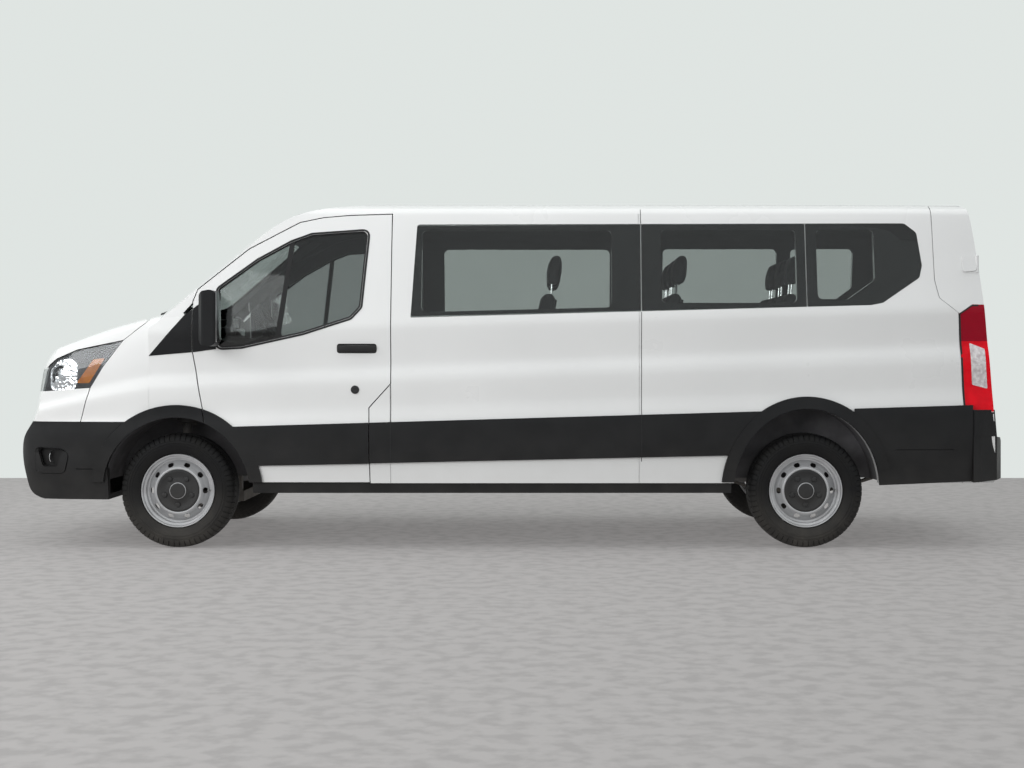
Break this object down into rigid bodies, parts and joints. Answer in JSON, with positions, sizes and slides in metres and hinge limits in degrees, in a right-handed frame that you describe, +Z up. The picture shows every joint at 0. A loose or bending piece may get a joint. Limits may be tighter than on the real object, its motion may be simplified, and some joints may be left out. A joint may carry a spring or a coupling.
{
  "type": "full-size passenger van",
  "caption": "White low-roof passenger van with front doors, twin rear doors, side windows, steel wheels and black lower trim.",
  "frame": {"origin": "on the ground under the middle of the vehicle", "axes": "+X towards the tail, +Y towards the vehicle's right side, +Z up"},
  "size_m": [5.9813, 2.47, 2.093],
  "materials": {
    "bare_metal": "grey cast metal",
    "black_inner": "dull black liner",
    "black_trim": "grained black plastic",
    "chassis_steel": "black wax coated steel",
    "clear_glass": "clear glass with a green tint",
    "dark_glass": "tinted glass",
    "dash_plastic": "dark grey moulded plastic",
    "exhaust_steel": "dull stainless steel",
    "floor_rubber": "dark floor covering",
    "grille_black": "black grille bars",
    "lamp_housing": "silvery lamp housing and bowls",
    "lamp_lens": "clear lamp cover",
    "seat_fabric": "dark woven cloth",
    "steel_rim": "silver painted steel",
    "tail_lens": "red lamp lens",
    "tank_plastic": "black moulded tank",
    "tyre": "black tyre",
    "white_paint": "gloss white body paint"
  },
  "bodies": {
    "root": {"cab_frame": "white_paint", "chassis_frame": "chassis_steel", "cowl_panel": "black_trim", "dashboard": "dash_plastic", "engine": "bare_metal", "exhaust": "exhaust_steel", "fender_left": "white_paint", "fender_right": "white_paint", "firewall": "black_inner", "floor": "floor_rubber", "front_bumper": "black_trim", "front_seats": "seat_fabric", "front_subframe": "chassis_steel", "fuel_tank": "tank_plastic", "grille": "grille_black", "headlamp_lenses": "lamp_lens", "headlamps": "lamp_housing", "leaf_springs": "chassis_steel", "nose_fascia": "white_paint", "propeller_shaft": "bare_metal", "radiator_panel": "white_paint", "rear_axle": "bare_metal", "rear_benches": "seat_fabric", "rear_bumper": "black_trim", "rear_frame": "white_paint", "rockers": "black_trim", "roof": "white_paint", "seat_bases": "chassis_steel", "side_cladding": "black_trim", "side_glass": "dark_glass", "side_left": "white_paint", "side_right": "white_paint", "sliding_door": "white_paint", "tail_lamps": "tail_lens", "wheel_housings": "black_inner", "windscreen": "clear_glass"},
    "front_door_left": {"front_door_panel_left": "white_paint", "front_door_glass_left": "clear_glass", "front_door_trim_left": "black_trim", "mirror_left": "black_trim"},
    "front_door_right": {"front_door_panel_right": "white_paint", "front_door_glass_right": "clear_glass", "front_door_trim_right": "black_trim", "mirror_right": "black_trim"},
    "rear_door_left": {"rear_door_panel_left": "white_paint", "rear_door_glass_left": "dark_glass"},
    "rear_door_right": {"rear_door_panel_right": "white_paint", "rear_door_glass_right": "dark_glass"},
    "bonnet": {"bonnet": "white_paint"},
    "steering_wheel": {"steering_wheel": "dash_plastic"},
    "knuckle_left": {"knuckle_left": "bare_metal"},
    "knuckle_right": {"knuckle_right": "bare_metal"},
    "wheel_front_left": {"tyre_front_left": "tyre", "rim_front_left": "steel_rim"},
    "wheel_front_right": {"tyre_front_right": "tyre", "rim_front_right": "steel_rim"},
    "wheel_rear_left": {"tyre_rear_left": "tyre", "rim_rear_left": "steel_rim"},
    "wheel_rear_right": {"tyre_rear_right": "tyre", "rim_rear_right": "steel_rim"}
  },
  "joints": [
    {"name": "front_door_left_hinge", "type": "hinge", "parent": "root", "child": "front_door_left", "pos_m": [-1.838, -1.05, 1.1], "axis": [0, 0, -1], "range_deg": [0, 68]},
    {"name": "front_door_right_hinge", "type": "hinge", "parent": "root", "child": "front_door_right", "pos_m": [-1.838, 1.05, 1.1], "axis": [0, 0, 1], "range_deg": [0, 68]},
    {"name": "rear_door_left_hinge", "type": "hinge", "parent": "root", "child": "rear_door_left", "pos_m": [2.928, -0.915, 0.722], "axis": [0.0934, -0.0203, -0.9954], "range_deg": [0, 180]},
    {"name": "rear_door_right_hinge", "type": "hinge", "parent": "root", "child": "rear_door_right", "pos_m": [2.928, 0.915, 0.722], "axis": [-0.0934, -0.0203, 0.9954], "range_deg": [0, 180]},
    {"name": "bonnet_hinge", "type": "hinge", "parent": "root", "child": "bonnet", "pos_m": [-2.128, 0, 1.432], "axis": [0, 1, 0], "range_deg": [0, 50]},
    {"name": "steer_left", "type": "hinge", "parent": "root", "child": "knuckle_left", "pos_m": [-1.9675, -0.79, 0.235], "axis": [0, 0.2185, 0.9758], "range_deg": [-33, 33]},
    {"name": "steer_right", "type": "hinge", "parent": "root", "child": "knuckle_right", "pos_m": [-1.9675, 0.79, 0.235], "axis": [0, -0.2185, 0.9758], "range_deg": [-33, 33]},
    {"name": "steering_wheel_turn", "type": "hinge", "parent": "root", "child": "steering_wheel", "pos_m": [-1.48, -0.43, 1.29], "axis": [0.8829, 0, 0.4695], "range_deg": [-500, 500]},
    {"name": "spin_front_left", "type": "hinge", "parent": "knuckle_left", "child": "wheel_front_left", "pos_m": [-1.9675, -0.866, 0.342], "axis": [0, 1, 0], "continuous": true},
    {"name": "spin_front_right", "type": "hinge", "parent": "knuckle_right", "child": "wheel_front_right", "pos_m": [-1.9675, 0.866, 0.342], "axis": [0, 1, 0], "continuous": true},
    {"name": "spin_rear_left", "type": "hinge", "parent": "root", "child": "wheel_rear_left", "pos_m": [1.7825, -0.8715, 0.342], "axis": [0, 1, 0], "continuous": true},
    {"name": "spin_rear_right", "type": "hinge", "parent": "root", "child": "wheel_rear_right", "pos_m": [1.7825, 0.8715, 0.342], "axis": [0, 1, 0], "continuous": true}
  ],
  "couplings": [
    {"joint": "steer_right", "follows": "steer_left", "ratio": 1},
    {"joint": "steering_wheel_turn", "follows": "steer_left", "ratio": 15}
  ]
}
